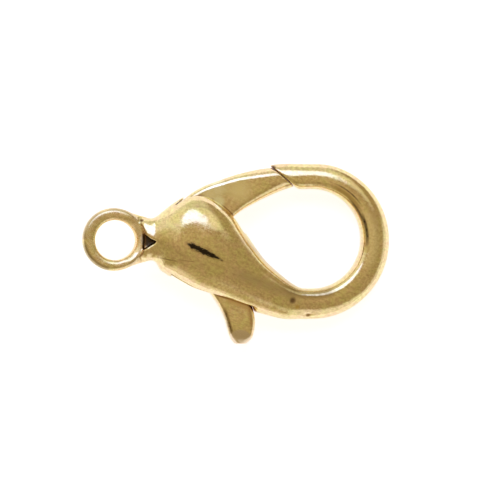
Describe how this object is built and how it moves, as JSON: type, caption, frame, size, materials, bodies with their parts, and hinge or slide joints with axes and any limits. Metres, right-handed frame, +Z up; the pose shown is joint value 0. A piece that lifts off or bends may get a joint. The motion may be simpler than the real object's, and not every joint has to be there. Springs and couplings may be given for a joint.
{
  "type": "lobster clasp",
  "caption": "Gold-coloured lobster clasp: a cast claw with an eyelet and a domed bulb, and a sprung lever whose gate closes the hook.",
  "frame": {"origin": "on the floor, under the middle of the clasp's box as it lies on its back", "axes": "+X from the eyelet towards the hook, +Y towards the gate, +Z up from the floor"},
  "size_m": [0.021, 0.0124, 0.0046],
  "materials": {
    "gold_plate": "polished yellow gold plating over a casting",
    "gold_plate_lever": "polished yellow gold plating over a casting",
    "pin_metal": "plain rivet, plated with the claw",
    "spring_steel": "plain spring strip"
  },
  "bodies": {
    "claw": {"claw": "gold_plate", "pivot_pin": "pin_metal", "return_spring": "spring_steel"},
    "lever": {"lever": "gold_plate_lever"}
  },
  "joints": [
    {"name": "lever_pivot", "type": "hinge", "parent": "claw", "child": "lever", "pos_m": [-0.00224, 0.00148, 0.00228], "axis": [-0.0976, 0.007, -0.9952], "range_deg": [0, 25], "stiffness_Nm_per_rad": 0.03, "springref_deg": -17.19, "deforming": ["return_spring"]}
  ]
}
